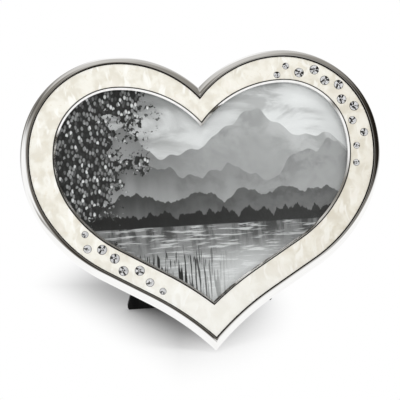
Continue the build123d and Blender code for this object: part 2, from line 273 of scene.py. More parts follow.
class Bench:
    """Modelling steps that the pieces share, each done with Blender's own operators."""

    MERGE = 1e-7
    PACKED_MERGE = 2e-6
    PACKED_FLAT = 0.4

    @staticmethod
    def clear() -> None:
        """Leaves nothing selected."""
        if bpy.context.mode != "OBJECT":
            bpy.ops.object.mode_set(mode="OBJECT")
        bpy.ops.object.select_all(action="DESELECT")

    @staticmethod
    def pick(piece: Object) -> None:
        """Selects one piece alone and makes it active.

        Args:
            piece: The piece.
        """
        Bench.clear()
        piece.select_set(True)
        bpy.context.view_layer.objects.active = piece

    @staticmethod
    def whole() -> None:
        """Selects the whole mesh in edit mode."""
        bpy.ops.mesh.select_all(action="SELECT")

    @staticmethod
    def edit(piece: Object) -> None:
        """Opens a piece in edit mode with all of it selected.

        Args:
            piece: The piece.
        """
        Bench.pick(piece)
        bpy.ops.object.mode_set(mode="EDIT")
        Bench.whole()

    @staticmethod
    def done() -> None:
        """Leaves edit mode."""
        bpy.ops.object.mode_set(mode="OBJECT")

    @staticmethod
    def flatten(angle: float) -> None:
        """Merges faces that lie within an angle in degrees of each other."""
        Bench.whole()
        bpy.ops.mesh.dissolve_limited(angle_limit=math.radians(angle))

    @staticmethod
    def outward() -> None:
        """Turns every face outwards and leaves edit mode."""
        Bench.whole()
        bpy.ops.mesh.normals_make_consistent(inside=False)
        Bench.done()

    @staticmethod
    def start(name: str) -> Object:
        """Starts a piece with no mesh at the origin, left in edit mode.

        Args:
            name: Name of the new piece.

        Returns:
            The piece.
        """
        Bench.clear()
        bpy.ops.object.add(type="MESH")
        piece = bpy.context.object
        piece.name = piece.data.name = name
        bpy.ops.object.mode_set(mode="EDIT")
        return piece

    @staticmethod
    def draw(name: str, points: list[Vector], closed: bool) -> Object:
        """Draws a line of edges by extruding one vertex from point to point.

        Args:
            name: Name of the new piece.
            points: The points of the line.
            closed: Whether the line runs back to its first point.

        Returns:
            The piece, left in edit mode with its whole line selected.
        """
        piece = Bench.start(name)
        bpy.ops.mesh.primitive_plane_add(size=0.001, location=(0.0, 0.0, 0.0))
        bpy.ops.mesh.merge(type="CENTER")
        bpy.ops.transform.translate(value=points[0])
        line = [*points, points[0]] if closed else points
        for here, there in zip(line, line[1:]):
            bpy.ops.mesh.extrude_vertices_move(TRANSFORM_OT_translate={"value": there - here})
        Bench.whole()
        bpy.ops.mesh.remove_doubles(threshold=Bench.MERGE)
        Bench.whole()
        return piece

    @staticmethod
    def modify(piece: Object, kind: str, **settings: object) -> None:
        """Adds a modifier with its settings and applies it.

        Args:
            piece: The piece.
            kind: Type of the modifier.
            **settings: Values for the modifier's properties.
        """
        Bench.pick(piece)
        bpy.ops.object.modifier_add(type=kind)
        modifier = piece.modifiers[-1]
        for key, value in settings.items():
            setattr(modifier, key, value)
        bpy.ops.object.modifier_apply(modifier=modifier.name)

    @staticmethod
    def combine(piece: Object, tool: Object, operation: str) -> None:
        """Joins or cuts a piece with a tool by an exact boolean, and removes the tool."""
        Bench.modify(piece, "BOOLEAN", object=tool, operation=operation, solver="EXACT")
        bpy.data.objects.remove(tool)

    @staticmethod
    def tidy(piece: Object, merge: float = MERGE, flat: float = 0.0) -> None:
        """Merges doubles and turns every face outwards.

        Args:
            piece: The piece.
            merge: How close two corners are to become one.
            flat: Angle in degrees within which faces are merged, or 0 to leave them.
        """
        Bench.edit(piece)
        bpy.ops.mesh.remove_doubles(threshold=merge)
        if flat:
            Bench.flatten(flat)
        Bench.outward()

    @staticmethod
    def smooth(piece: Object, angle: float = 30.0) -> None:
        """Shades a piece smooth, with edges sharper than the angle kept crisp."""
        Bench.pick(piece)
        bpy.ops.object.shade_smooth_by_angle(angle=math.radians(angle))

    @staticmethod
    def place(piece: Object, matrix: Matrix) -> None:
        """Moves a piece to its place and applies that to its mesh.

        Args:
            piece: The piece.
            matrix: Transform from where it is to its place.
        """
        Bench.pick(piece)
        piece.matrix_world = matrix @ piece.matrix_world
        bpy.ops.object.transform_apply(location=True, rotation=True, scale=True)

    @staticmethod
    def copy_mesh(source: Object, name: str) -> Object:
        """Makes a new piece with a copy of another's mesh.

        Args:
            source: The other piece.
            name: Name of the new piece.

        Returns:
            The new piece.
        """
        piece = bpy.data.objects.new(name, source.data.copy())
        piece.data.name = name
        bpy.context.scene.collection.objects.link(piece)
        return piece

    @staticmethod
    def copy_node(node: str, name: str) -> Object:
        """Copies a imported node's mesh into a new piece, with its triangles joined up.

        Args:
            node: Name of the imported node.
            name: Name of the new piece.

        Returns:
            The new piece, with flat faces merged and nothing riding on it yet.
        """
        piece = Bench.copy_mesh(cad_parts[node], name)
        piece.data.materials.clear()
        if piece.data.has_custom_normals:
            Bench.pick(piece)
            bpy.ops.mesh.customdata_custom_splitnormals_clear()
        Bench.tidy(piece, Bench.PACKED_MERGE, Bench.PACKED_FLAT)
        return piece

    @staticmethod
    def bevel(piece: Object, width: float, segments: int, angle: float = 40.0) -> None:
        """Rounds the edges of a piece that are sharper than an angle.

        Args:
            piece: The piece.
            width: Width of the rounding.
            segments: Number of faces across it.
            angle: Angle in degrees above which an edge is rounded.
        """
        limit = math.radians(angle)
        Bench.modify(
            piece, "BEVEL", width=width, segments=segments, limit_method="ANGLE", angle_limit=limit,
            use_clamp_overlap=True,
        )

    @staticmethod
    def ease(piece: Object, width: float, segments: int = 2) -> None:
        """Rounds a piece's sharp edges, and shades it so that its flat faces stay flat.

        Args:
            piece: The piece.
            width: Width of the rounding.
            segments: Number of faces across it.
        """
        Bench.bevel(piece, width, segments)
        Bench.smooth(piece, 35.0)
        Bench.modify(piece, "WEIGHTED_NORMAL", mode="FACE_AREA_WITH_ANGLE", weight=80, keep_sharp=True)


@dataclass(frozen=True)
class Sweeper:
    """Sweeps a section round the heart: spun on each arc, pushed along the straight, and mirrored."""

    line: HeartLine = HeartLine()

    def sweep(self, name: str, section: list[Point2], family: Family, closed: bool, lead: float) -> Object:
        """Sweeps a section round both halves of the heart.

        Args:
            name: Name of the new piece.
            section: Points of the section: distance outside the line, and level above the pearl face.
            family: Family of lines that the section follows.
            closed: Whether the section is a closed loop.
            lead: Degrees by which the section starts before the cleft, to be cut back to the middle.

        Returns:
            The swept piece in the front's plane.
        """
        line = self.line
        inmost = min(x for x, _ in section)
        runs = line.runs(family, max(x for x, _ in section))
        start = line.cleft_start(max(inmost, 0.0) if lead > line.overrun else inmost) + lead
        centre = line.cleft_centre(family)
        spoke = ray(start)
        points = [centre + spoke * (line.cleft_radius() + x) + Vector((0.0, 0.0, z)) for x, z in section]
        piece = Bench.draw(name, points, closed)
        if closed:
            bpy.ops.mesh.edge_face_add()
        self._spin(centre, start - 90.0)
        for run in runs[1:4]:
            self._spin(run.centre, -run.turn)
        straight, flare = runs[4:]
        for _ in range(line.straight_steps):
            move = straight.heading * (straight.size / line.straight_steps)
            bpy.ops.mesh.extrude_region_move(TRANSFORM_OT_translate={"value": move})
        self._spin(flare.centre, -flare.turn - line.overrun)
        Bench.whole()
        bpy.ops.mesh.bisect(
            plane_co=(0.0, 0.0, 0.0), plane_no=(1.0, 0.0, 0.0), clear_inner=True, use_fill=False,
            threshold=Bench.MERGE,
        )
        Bench.done()
        Bench.modify(piece, "MIRROR", use_clip=False, merge_threshold=Bench.PACKED_MERGE)
        Bench.tidy(piece)
        return piece

    def _spin(self, centre: Vector, turn: float) -> None:
        """Spins what is selected about a centre, clockwise for a positive turn in degrees."""
        steps = max(2, math.ceil(abs(turn) / self.line.step))
        bpy.ops.mesh.spin(steps=steps, angle=math.radians(turn), center=centre, axis=(0.0, 0.0, 1.0))


def oval(centre: Point2, width: float, height: float, start: float, stop: float, steps: int) -> list[Point2]:
    """Points on an arc of an oval of half width and half height, between angles in degrees."""
    angles = [math.radians(start + (stop - start) * step / steps) for step in range(steps + 1)]
    return [(centre[0] + width * math.cos(a), centre[1] + height * math.sin(a)) for a in angles]


# Shader building


class Sheet:
    """A node tree with short calls that add and join nodes."""

    def __init__(self, tree: Tree) -> None:
        """Takes the node tree of a material, a group or the world."""
        self.tree = tree

    def add(self, kind: str, **settings: object) -> Node:
        """Adds a node and sets its properties.

        Args:
            kind: Type name of the node.
            **settings: Properties of the node.

        Returns:
            The node.
        """
        node = self.tree.nodes.new(kind)
        for key, value in settings.items():
            setattr(node, key, value)
        return node

    def put(self, value: object, socket: Socket) -> None:
        """Links a socket to an input, or sets a plain value on it.

        Args:
            value: A socket, a number, or a tuple.
            socket: The input.
        """
        if isinstance(value, bpy.types.NodeSocket):
            self.tree.links.new(value, socket)
        elif isinstance(value, tuple) and len(value) == 3 and socket.type == "RGBA":
            socket.default_value = (*value, 1.0)
        else:
            socket.default_value = value

    def feed(self, node: Node, *values: object) -> Node:
        """Sets a node's inputs in their order."""
        for value, socket in zip(values, node.inputs):
            self.put(value, socket)
        return node

    def fill(self, node: Node, **values: object) -> Node:
        """Sets a node's inputs by name, with underscores for spaces."""
        for key, value in values.items():
            self.put(value, node.inputs[key.replace("_", " ")])
        return node

    def math(self, operation: str, first: object, second: object = 0.0, third: object = 0.0) -> Socket:
        """Adds a Math node and gives its result."""
        return self.feed(self.add("ShaderNodeMath", operation=operation), first, second, third).outputs[0]

    def times(self, first: object, second: object) -> Socket:
        """Multiplies two values."""
        return self.math("MULTIPLY", first, second)

    def plus(self, first: object, second: object) -> Socket:
        """Adds two values."""
        return self.math("ADD", first, second)

    def minus(self, first: object, second: object) -> Socket:
        """Takes the second value from the first."""
        return self.math("SUBTRACT", first, second)

    def times_plus(self, first: object, second: object, third: object) -> Socket:
        """Multiplies two values and adds the third."""
        return self.math("MULTIPLY_ADD", first, second, third)

    def blend(self, share: object, first: object, second: object) -> Socket:
        """Goes from the first value to the second by a share."""
        return self.plus(self.times(first, self.minus(1.0, share)), self.times(second, share))

    def distance(self, x: Socket, y: Socket, middle: Point2, squeeze: float = 1.0) -> Socket:
        """Distance from a middle, with what lies to its sides drawn out by a factor.

        Args:
            x: First coordinate.
            y: Second coordinate.
            middle: The middle.
            squeeze: The factor.

        Returns:
            The distance.
        """
        aside = self.times(self.minus(x, middle[0]), squeeze)
        behind = self.minus(y, middle[1])
        return self.math("SQRT", self.times_plus(aside, aside, self.times(behind, behind)))

    def span(self, value: object, low: float, high: float, to_low: object = 0.0, to_high: object = 1.0,
             curve: str = "SMOOTHSTEP") -> Socket:
        """Maps the range from low to high, which may run either way, to another, clamped."""
        node = self.add("ShaderNodeMapRange", interpolation_type=curve, clamp=True)
        return self.feed(node, value, low, high, to_low, to_high).outputs[0]

    def mix(self, share: object, first: object, second: object, blend: str = "MIX") -> Socket:
        """Mixes two colours by a share.

        Args:
            share: Share of the second.
            first: The first colour.
            second: The second colour.
            blend: How the second goes over the first.

        Returns:
            The mixed colour.
        """
        node = self.add("ShaderNodeMix", data_type="RGBA", blend_type=blend, clamp_factor=True)
        self.put(share, node.inputs[0])
        self.put(first, node.inputs[6])
        self.put(second, node.inputs[7])
        return node.outputs[2]

    def layer(self, under: object, over: object, value: Socket, low: float, high: float,
              share: float = 1.0) -> Socket:
        """Lays a share of one colour over another as a value goes from low to high."""
        return self.mix(self.span(value, low, high, 0.0, share), under, over)

    def split(self, vector: Socket) -> list[Socket]:
        """Gives the three parts of a vector."""
        return list(self.feed(self.add("ShaderNodeSeparateXYZ"), vector).outputs)

    def join(self, x: object, y: object, z: object = 0.0) -> Socket:
        """Makes a vector from three parts."""
        return self.feed(self.add("ShaderNodeCombineXYZ"), x, y, z).outputs[0]

    def noise(self, vector: Socket, scale: object, detail: float = 2.0, rough: float = 0.5, warp: float = 0.0,
              space: str = "3D") -> Socket:
        """Noise with so many finer layers of a strength, in "2D" where it is printed on a flat sheet.

        Args:
            vector: Where it is read.
            scale: Its scale.
            detail: Number of finer layers.
            rough: Their strength.
            warp: How much it is distorted.
            space: Its dimensions.

        Returns:
            The noise, from 0 to 1.
        """
        values = {"Scale": scale, "Detail": detail, "Roughness": rough, "Distortion": warp}
        noise = self.add("ShaderNodeTexNoise", noise_dimensions=space)
        return self.fill(noise, Vector=vector, **values).outputs["Fac"]

    def stretch(self, vector: Socket, scale: Point3, turn: float = 0.0) -> Socket:
        """Scales a vector and turns it by degrees about Z."""
        node = self.fill(self.add("ShaderNodeMapping"), Vector=vector, Scale=scale)
        return self.fill(node, Rotation=(0.0, 0.0, math.radians(turn))).outputs[0]

    def place(self) -> Socket:
        """Coordinates of the piece in the world's axes, in metres."""
        return self.add("ShaderNodeTexCoord").outputs["Object"]

    def front_place(self) -> Socket:
        """Coordinates in the front's plane: right, up the front, and out of the pearl face.

        Returns:
            The coordinates, in metres.
        """
        origin, turn = tuple(FrontPlane().origin()), (FrontPlane().turn(), 0.0, 0.0)
        node = self.add("ShaderNodeMapping", vector_type="TEXTURE")
        return self.fill(node, Vector=self.place(), Location=origin, Rotation=turn).outputs[0]

    def bump(self, height: Socket, distance: float, strength: float) -> Socket:
        """Turns a height into a normal."""
        node = self.add("ShaderNodeBump")
        return self.fill(node, Height=height, Distance=distance, Strength=strength).outputs[0]

    def principled(self, **values: object) -> Socket:
        """Adds a Principled BSDF, with inputs given by name."""
        return self.fill(self.add("ShaderNodeBsdfPrincipled"), **values).outputs[0]

    def rays(self, *kinds: str) -> Socket:
        """1 for rays of the named kinds, and 0 for others.

        Args:
            *kinds: Names of kinds of ray.

        Returns:
            The mask.
        """
        path = self.add("ShaderNodeLightPath")
        named = [path.outputs[f"Is {kind} Ray"] for kind in kinds]
        return self.math("MAXIMUM", *named) if len(named) > 1 else named[0]

    def either(self, share: Socket, first: Socket, second: Socket) -> Socket:
        """Goes from one shader to another by a share."""
        return self.feed(self.add("ShaderNodeMixShader"), share, first, second).outputs[0]

    def pass_light(self, glass: Socket, tint: Colour) -> Socket:
        """Lets lamps and diffuse light straight through a glass, tinted."""
        clear = self.fill(self.add("ShaderNodeBsdfTransparent"), Color=tint).outputs[0]
        return self.either(self.rays("Shadow", "Diffuse"), glass, clear)

    def use(self, group: Tree, **values: object) -> Node:
        """Places a shader node group and sets its inputs by name."""
        return self.fill(self.add("ShaderNodeGroup", node_tree=group), **values)


def new_group(name: str, values: dict[str, float], results: list[str]) -> tuple[Sheet, list[Socket], Node]:
    """Makes an empty shader node group that reads a vector and values, and gives values.

    Args:
        name: Its name.
        values: Name and default of each value that it reads.
        results: Names of the values that it gives.

    Returns:
        Its sheet, what it is given in order, and its output node.
    """
    tree = bpy.data.node_groups.new(name, "ShaderNodeTree")
    tree.interface.new_socket(name="Vector", in_out="INPUT", socket_type="NodeSocketVector")
    for key, value in values.items():
        socket = tree.interface.new_socket(name=key, in_out="INPUT", socket_type="NodeSocketFloat")
        socket.default_value = value
    for key in results:
        tree.interface.new_socket(name=key, in_out="OUTPUT", socket_type="NodeSocketFloat")
    sheet = Sheet(tree)
    given = list(sheet.add("NodeGroupInput").outputs)
    return sheet, given[: len(values) + 1], sheet.add("NodeGroupOutput")


@cache
def hairlines() -> Tree:
    """Group of fine polishing hairlines and soft handling marks on plated metal.

    Returns:
        The group, which gives a mask for roughness and a height.
    """
    values, results = {"Fineness": 1.0, "Marks": 0.5}, ["Roughness Mask", "Height"]
    sheet, (place, fineness, marks), out = new_group("polish_marks", values, results)
    scale = sheet.times(fineness, 900.0)
    along = sheet.noise(sheet.stretch(place, (1.0, 0.06, 1.0)), scale, 3.0, 0.6)
    across = sheet.noise(sheet.stretch(place, (0.06, 1.0, 1.0), 27.0), scale, 3.0, 0.6)
    cloud = sheet.noise(place, 60.0, 4.0, 0.6, 0.4)
    lines = sheet.math("MAXIMUM", sheet.span(along, 0.62, 0.8), sheet.span(across, 0.64, 0.82))
    smear = sheet.times(sheet.span(cloud, 0.45, 0.75), marks)
    sheet.feed(out, sheet.times_plus(lines, 0.5, smear), sheet.times_plus(cloud, 0.4, lines))
    return sheet.tree


@cache
def pile() -> Tree:
    """Group of short velvet pile: the fine nap and the patches where it lies another way.

    Returns:
        The group, which gives the nap and how it lies.
    """
    sheet, (place, fineness), out = new_group("velvet_pile", {"Fineness": 1.0}, ["Nap", "Lay"])
    scale = sheet.times(fineness, 2600.0)
    fine = sheet.noise(place, scale, 2.0, 0.7)
    tufts = sheet.noise(place, sheet.times(scale, 0.22), 3.0, 0.6)
    lay = sheet.noise(sheet.stretch(place, (1.0, 0.5, 0.5)), 55.0, 3.0, 0.55, 0.8)
    sheet.feed(out, sheet.blend(0.4, fine, tufts), sheet.span(lay, 0.35, 0.7))
    return sheet.tree


# Finishes


@dataclass(frozen=True)
class Finish:
    """A procedural material, named after its slot or its use."""

    use: Slot | Extra

    def shade(self, sheet: Sheet) -> Socket:
        """Builds the shader, which each finish does in its own way."""
        raise NotImplementedError

    def build(self) -> Material:
        """Makes the material.

        Returns:
            The material.
        """
        material = bpy.data.materials.new(self.use.value)
        material.use_nodes = True
        material.node_tree.nodes.clear()
        sheet = Sheet(material.node_tree)
        sheet.fill(sheet.add("ShaderNodeOutputMaterial"), Surface=self.shade(sheet))
        return material


@dataclass(frozen=True)
class PlatedMetal(Finish):
    """Bright plate over a casting or pressing, with hairlines and a little haze."""

    colour: Colour
    rough_low: float
    rough_high: float
    depth: float
    marks: float = 0.4
    fineness: float = 1.0

    def shade(self, sheet: Sheet) -> Socket:
        """Metal that its hairlines roughen and dent a little.

        Args:
            sheet: Node tree to add to.

        Returns:
            The shader.
        """
        group = sheet.use(hairlines(), Vector=sheet.front_place(), Fineness=self.fineness, Marks=self.marks)
        mask, height = group.outputs
        rough = sheet.span(mask, 0.0, 1.0, self.rough_low, self.rough_high, "LINEAR")
        normal = sheet.bump(height, self.depth, 0.5)
        return sheet.principled(Base_Color=self.colour, Metallic=1.0, Roughness=rough, Normal=normal)


@dataclass(frozen=True)
class PaintedShadeBlack(Finish):
    """Black on metal as painted shade in the narrow groove beside the pearl band and at the stones' girdles,
    and as painted dark reflections on the foot of the rim's and lip's edges and on some facets of the stones.
    """

    colour: Colour = (0.006, 0.0055, 0.005)
    paler_patch: Colour = (0.028, 0.025, 0.022)

    def shade(self, sheet: Sheet) -> Socket:
        """Dull black standing in for shade and dark reflections, paler in patches.

        Args:
            sheet: Node tree to add to.

        Returns:
            The shader.
        """
        cloud = sheet.noise(sheet.front_place(), 350.0, 3.0, 0.6)
        colour = sheet.layer(self.colour, self.paler_patch, cloud, 0.4, 0.75)
        return sheet.principled(Base_Color=colour, Roughness=0.6, Specular_IOR_Level=0.12)


@dataclass(frozen=True)
class PearlEnamel(Finish):
    """Glossy cream enamel with soft clouds and slanted strokes of mother of pearl."""

    body: Colour = (0.885, 0.866, 0.79)
    milk: Colour = (0.95, 0.943, 0.895)
    shadow: Colour = (0.765, 0.733, 0.64)
    tan: Colour = (0.76, 0.70, 0.57)
    rose: Colour = (0.89, 0.848, 0.775)
    darker_right_tone: Colour = (0.885, 0.87, 0.845)
    grey: Colour = (0.88, 0.88, 0.845)
    left_slant: float = -8.0
    right_slant: float = 32.0

    def shade(self, sheet: Sheet) -> Socket:
        """Clouds, flecks and strokes, a darker and warmer tone towards the right and lower down, and a grey
        tip, under a clear coat.

        Args:
            sheet: Node tree to add to.

        Returns:
            The shader.
        """
        place = sheet.front_place()
        u, v, _ = sheet.split(place)
        flow = sheet.minus(sheet.noise(place, 60.0), 0.5)
        bend = sheet.join(sheet.times(flow, 0.010), sheet.times(flow, -0.007))
        bent = sheet.feed(sheet.add("ShaderNodeVectorMath", operation="ADD"), place, bend).outputs[0]
        clouds = sheet.noise(bent, 135.0)
        upright, leaning = (
            sheet.noise(sheet.stretch(bent, (1.0, 0.38, 1.0), slant), 230.0, 2.0, 0.5, 0.6)
            for slant in (self.left_slant, self.right_slant)
        )
        strokes = sheet.blend(sheet.span(u, -0.02, 0.02), upright, leaning)
        flecks = sheet.noise(bent, 420.0, 2.0, 0.5, 0.8)
        tint = sheet.noise(place, 90.0, 1.0)
        colour = sheet.layer(self.shadow, self.body, clouds, 0.36, 0.62)
        colour = sheet.layer(colour, self.tan, flecks, 0.56, 0.72, 0.45)
        colour = sheet.layer(colour, self.milk, strokes, 0.53, 0.68, 0.9)
        colour = sheet.layer(colour, self.rose, tint, 0.56, 0.72, 0.4)
        colour = sheet.layer(colour, self.grey, v, -0.055, -0.085, 0.6)
        # Darker and warmer towards the right and lower down
        darker_right_share = sheet.times(sheet.span(u, -0.01, 0.07), sheet.span(v, 0.075, 0.01))
        colour = sheet.mix(darker_right_share, colour, self.darker_right_tone, "MULTIPLY")
        return sheet.principled(
            Base_Color=colour, Roughness=0.35, Specular_IOR_Level=0.4, Coat_Weight=1.0, Coat_Roughness=0.03,
            Normal=sheet.bump(sheet.plus(strokes, clouds), 2e-5, 0.2),
        )


@dataclass(frozen=True)
class CutCrystal(Finish):
    """Clear cut crystal for the crown of a stone."""

    colour: Colour = (0.98, 0.985, 0.99)
    tint: Colour = (0.97, 0.97, 0.975)

    def shade(self, sheet: Sheet) -> Socket:
        """Clear crystal, a little rough where there is dust.

        Args:
            sheet: Node tree to add to.

        Returns:
            The shader.
        """
        rough = sheet.span(sheet.noise(sheet.place(), 900.0), 0.55, 0.85, 0.0, 0.03)
        glass = sheet.principled(Base_Color=self.colour, Roughness=rough, IOR=1.56, Transmission_Weight=1.0)
        return sheet.pass_light(glass, self.tint)


@dataclass(frozen=True)
class PaneGlass(Finish):
    """Clear float glass that lets the lamps through to the print."""

    colour: Colour = (0.985, 0.992, 0.988)
    tint: Colour = (0.97, 0.98, 0.975)

    def shade(self, sheet: Sheet) -> Socket:
        """Clear glass, a little rough where it is smeared.

        Args:
            sheet: Node tree to add to.

        Returns:
            The shader.
        """
        smear = sheet.noise(sheet.front_place(), 35.0, 3.0, 0.55, 0.5)
        rough = sheet.span(smear, 0.5, 0.85, 0.0, 0.02)
        glass = sheet.principled(Base_Color=self.colour, Roughness=rough, IOR=1.45, Transmission_Weight=1.0)
        return sheet.pass_light(glass, self.tint)


@dataclass(frozen=True)
class CrystalFoil(Finish):
    """Silver foil on the pavilion of a stone."""

    dull: Colour = (0.88, 0.88, 0.89)
    bright: Colour = (0.95, 0.95, 0.95)

    def shade(self, sheet: Sheet) -> Socket:
        """Foil that is a little duller in places.

        Args:
            sheet: Node tree to add to.

        Returns:
            The shader.
        """
        cloud = sheet.noise(sheet.place(), 700.0)
        colour = sheet.layer(self.dull, self.bright, cloud, 0.3, 0.7)
        return sheet.principled(Base_Color=colour, Metallic=0.45, Roughness=0.12)


def grey(value: float) -> Colour:
    """A neutral grey of the print."""
    return (value, value, value * 1.01)


@dataclass(frozen=True)
class Ridge:
    """One range of hills in the print: level, swing, scale and detail of its outline, and its greys."""

    level: float
    swing: float
    scale: float
    detail: float
    left: float
    right: float
    mist: float
    seed: float


@dataclass(frozen=True)
class PrintedPaper(Finish):
    """Satin paper with a greyscale print of a misty lake among hills."""

    shore: float = -0.043
    ridges: tuple[Ridge, ...] = (
        Ridge(0.004, 0.034, 16.0, 3.0, 0.19, 0.56, 0.36, 0.37),
        Ridge(-0.010, 0.026, 22.0, 4.0, 0.12, 0.36, 0.40, 0.74),
        Ridge(-0.026, 0.016, 34.0, 5.0, 0.045, 0.15, 0.24, 1.11),
        Ridge(-0.036, 0.010, 150.0, 6.0, 0.016, 0.035, 0.05, 1.48),
    )

    def shade(self, sheet: Sheet) -> Socket:
        """The landscape from back to front: sky, hills, lake, reeds and tree.

        Args:
            sheet: Node tree to add to.

        Returns:
            The shader.
        """
        place = sheet.front_place()
        u, v, _ = sheet.split(place)
        colour = self._sky(sheet, place, u, v)
        for ridge in self.ridges:
            colour = self._hill(sheet, colour, u, v, ridge)
        lake = self._lake(sheet, place, u, v)
        colour = sheet.layer(colour, lake, v, self.shore + 0.0004, self.shore - 0.0004)
        colour = self._reeds(sheet, colour, place, u, v)
        colour = self._tree(sheet, colour, place, u, v)
        return sheet.principled(Base_Color=colour, Roughness=0.42, Specular_IOR_Level=0.35)

    def _sky(self, sheet: Sheet, place: Socket, u: Socket, v: Socket) -> Socket:
        """Grey sky that clears to the right, with soft banks of cloud.

        Args:
            sheet: Node tree to add to.
            place: Coordinates in the front's plane.
            u: Coordinate to the right.
            v: Coordinate up the front.

        Returns:
            Its colour.
        """
        banks = sheet.noise(sheet.stretch(place, (1.0, 2.3, 1.0), 8.0), 26.0, 5.0, 0.55, 0.4, "2D")
        sky = sheet.layer(grey(0.085), grey(0.78), u, -0.075, 0.04)
        sky = sheet.layer(sky, grey(0.90), banks, 0.42, 0.68, 0.55)
        sky = sheet.layer(sky, grey(0.2), banks, 0.46, 0.28, 0.5)
        sky = sheet.layer(sky, grey(0.45), u, 0.058, 0.084, 0.45)
        return sheet.layer(sky, grey(0.74), v, 0.012, -0.016, 0.5)

    def _hill(self, sheet: Sheet, behind: Socket, u: Socket, v: Socket, ridge: Ridge) -> Socket:
        """Lays one range of hills over what is behind it.

        Args:
            sheet: Node tree to add to.
            behind: Colour of what is behind.
            u: Coordinate to the right.
            v: Coordinate up the front.
            ridge: The range.

        Returns:
            The colour with the range over it.
        """
        outline = sheet.noise(sheet.join(u, ridge.seed), ridge.scale, ridge.detail, 0.55, 0.0, "2D")
        top = sheet.times_plus(sheet.minus(outline, 0.5), 2.0 * ridge.swing, ridge.level)
        under = sheet.minus(top, v)
        slope = sheet.noise(sheet.join(u, v), ridge.scale * 5.0, 4.0, 0.6, 0.3, "2D")
        face = sheet.layer(grey(ridge.left), grey(ridge.right), u, -0.06, 0.06)
        face = sheet.layer(face, grey(ridge.left), slope, 0.35, 0.7, 0.45)
        face = sheet.layer(face, grey(ridge.mist), under, 0.0, 0.022, 0.75)
        return sheet.layer(behind, face, under, -0.00025, 0.00025)

    def _lake(self, sheet: Sheet, place: Socket, u: Socket, v: Socket) -> Socket:
        """Still water that mirrors the far shore and pales towards the near one.

        Args:
            sheet: Node tree to add to.
            place: Coordinates in the front's plane.
            u: Coordinate to the right.
            v: Coordinate up the front.

        Returns:
            Its colour.
        """
        mirrored = sheet.noise(sheet.stretch(place, (1.0, 0.22, 1.0)), 160.0, 4.0, 0.6, 0.2, "2D")
        dark = sheet.times(sheet.span(mirrored, 0.4, 0.62), sheet.span(v, -0.064, self.shore, 0.0, 0.9))
        ripples = sheet.noise(sheet.stretch(place, (0.10, 1.0, 1.0)), 620.0, 3.0, 0.6, 0.2, "2D")
        glare = sheet.times(sheet.span(u, -0.01, 0.03), sheet.span(v, -0.05, -0.07, 0.0, 0.5))
        water = sheet.layer(grey(0.22), grey(0.72), v, -0.048, -0.085)
        water = sheet.mix(dark, water, grey(0.04))
        water = sheet.layer(water, grey(0.82), ripples, 0.5, 0.68, 0.65)
        return sheet.mix(glare, water, grey(0.85))

    def _reeds(self, sheet: Sheet, behind: Socket, place: Socket, u: Socket, v: Socket) -> Socket:
        """Thin dark reeds at the near shore, lower left.

        Args:
            sheet: Node tree to add to.
            behind: Colour of what is behind.
            place: Coordinates in the front's plane.
            u: Coordinate to the right.
            v: Coordinate up the front.

        Returns:
            The colour with the reeds over it.
        """
        blades = sheet.noise(sheet.stretch(place, (1.0, 0.05, 1.0), 4.0), 900.0, 2.0, 0.5, 0.0, "2D")
        tall = sheet.noise(sheet.join(u, 0.9), 260.0, 3.0, 0.6, 0.0, "2D")
        under = sheet.minus(sheet.times_plus(tall, 0.030, -0.074), v)
        stand = sheet.times(sheet.span(under, -0.0006, 0.0006), sheet.span(u, 0.016, -0.012))
        return sheet.mix(sheet.times(sheet.span(blades, 0.50, 0.56), stand), behind, grey(0.03))

    def _tree(self, sheet: Sheet, behind: Socket, place: Socket, u: Socket, v: Socket) -> Socket:
        """Leafy boughs that hang in from the left, with pale leaves among dark ones.

        Args:
            sheet: Node tree to add to.
            behind: Colour of what is behind.
            place: Coordinates in the front's plane.
            u: Coordinate to the right.
            v: Coordinate up the front.

        Returns:
            The colour with the boughs over it.
        """
        spread = sheet.noise(place, 42.0, 4.0, 0.6, 0.3, "2D")
        inward = sheet.times_plus(spread, 0.075, sheet.times(v, 0.35))
        depth = sheet.minus(inward, sheet.plus(u, 0.082))
        leaves = sheet.noise(place, 420.0, 3.0, 0.6, 0.2, "2D")
        edge = sheet.times_plus(sheet.minus(leaves, 0.5), 0.05, depth)
        cells = sheet.add("ShaderNodeTexVoronoi", voronoi_dimensions="2D")
        sheet.fill(cells, Vector=sheet.stretch(place, (1.0, 0.62, 1.0), 35.0), Scale=640.0)
        lit = sheet.split(cells.outputs["Color"])[0]
        bough = sheet.layer(grey(0.03), grey(0.30), lit, 0.25, 0.85)
        bough = sheet.layer(bough, grey(0.72), lit, 0.86, 0.97)
        bough = sheet.layer(bough, grey(0.018), cells.outputs["Distance"], 0.30, 0.62)
        return sheet.layer(behind, bough, edge, -0.0006, 0.0012)


@dataclass(frozen=True)
class PressedBoard(Finish):
    """Pulp card or hardboard: short fibres pressed flat, a little darker here and there."""

    pale: Colour
    dark: Colour
    grain: float = 900.0

    def shade(self, sheet: Sheet) -> Socket:
        """Dull board in two tones, dented by its fibres.

        Args:
            sheet: Node tree to add to.

        Returns:
            The shader.
        """
        place = sheet.front_place()
        fibre = sheet.noise(sheet.stretch(place, (1.0, 0.25, 1.0), 20.0), self.grain, 4.0, 0.65, 0.8)
        cloud = sheet.noise(place, self.grain / 12.0, 3.0)
        colour = sheet.layer(self.dark, self.pale, sheet.blend(0.4, fibre, cloud), 0.3, 0.7)
        return sheet.principled(Base_Color=colour, Roughness=0.85, Normal=sheet.bump(fibre, 2e-5, 0.6))


